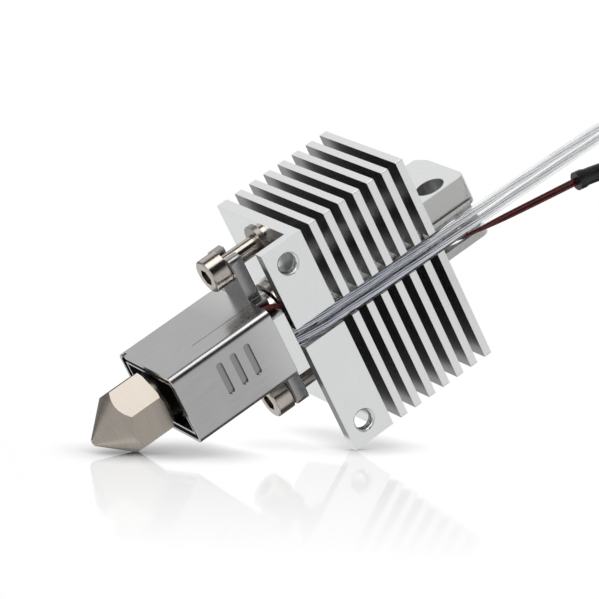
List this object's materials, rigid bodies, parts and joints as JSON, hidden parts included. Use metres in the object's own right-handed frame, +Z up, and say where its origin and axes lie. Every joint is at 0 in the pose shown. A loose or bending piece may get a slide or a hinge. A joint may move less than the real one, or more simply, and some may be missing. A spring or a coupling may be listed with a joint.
{
  "type": "3d printer hotend assembly",
  "caption": "Compact filament hotend with a finned heatsink, clamped heat break, square-shelled ceramic heater, screw-in nozzle and plug-in heater and thermistor leads.",
  "frame": {"origin": "midway between the two tapped holes, on the flange's front face", "axes": "+Z up to the filament inlet and the leads, -Z to the nozzle, -Y out of the flange's front face"},
  "size_m": [0.0428, 0.048, 0.0896],
  "materials": {
    "bright_aluminium": "bright fine-brushed aluminium with crisp light edges",
    "polished_steel": "turned and polished steel",
    "titanium": "fine-turned titanium",
    "white_ptfe": "waxy white fluoropolymer",
    "satin_steel": "satin grey stainless sheet",
    "copper": "machined copper alloy",
    "ceramic": "sintered alumina",
    "insulation": "pressed silica fibre",
    "nickel": "warm grey nickel plate with turning marks",
    "dark_silicone": "dark high-temperature silicone",
    "clear_fep": "clear fluoropolymer insulation over silver strands",
    "dark_red_enamel": "glossy dark red wire coating",
    "black_sleeve": "black shrink sleeve with a soft sheen",
    "white_nylon": "moulded natural nylon",
    "tinned_brass": "tinned crimp terminals",
    "stainless": "polished stainless with fine turning marks"
  },
  "bodies": {
    "hotend": {"heatsink": "bright_aluminium", "heat_break_sleeve": "polished_steel", "heat_break_throat": "titanium", "heat_break_collar": "polished_steel", "filament_guide_tube": "white_ptfe", "mounting_plate": "satin_steel", "heater_shell": "satin_steel", "shell_end_plate": "satin_steel", "heater_core": "copper", "ceramic_heater": "ceramic", "heater_insulation": "insulation", "thermistor_capsule": "copper", "lead_grommet": "dark_silicone", "heater_lead_a": "clear_fep", "heater_lead_b": "clear_fep", "thermistor_lead_a": "dark_red_enamel", "thermistor_lead_b": "dark_red_enamel", "thermistor_sleeve": "black_sleeve", "heater_plug": "white_nylon", "heater_plug_pins": "tinned_brass", "thermistor_plug": "white_nylon", "thermistor_plug_pins": "tinned_brass", "left_screw_collar": "stainless", "right_screw_collar": "stainless", "left_seat_washer": "stainless", "right_seat_washer": "stainless"},
    "nozzle": {"nozzle": "nickel"},
    "left_screw": {"left_cap_screw": "stainless"},
    "right_screw": {"right_cap_screw": "stainless"}
  },
  "joints": [
    {"name": "nozzle_turn", "type": "hinge", "parent": "hotend", "child": "nozzle", "pos_m": [-0.0035, 0.00735, -0.0212], "axis": [0, 0, -1], "continuous": true},
    {"name": "left_screw_turn", "type": "hinge", "parent": "hotend", "child": "left_screw", "pos_m": [-0.0131, 0.0075, -0.0052], "axis": [0, 0, -1], "continuous": true},
    {"name": "right_screw_turn", "type": "hinge", "parent": "hotend", "child": "right_screw", "pos_m": [0.00615, 0.0075, -0.0052], "axis": [0, 0, -1], "continuous": true}
  ]
}
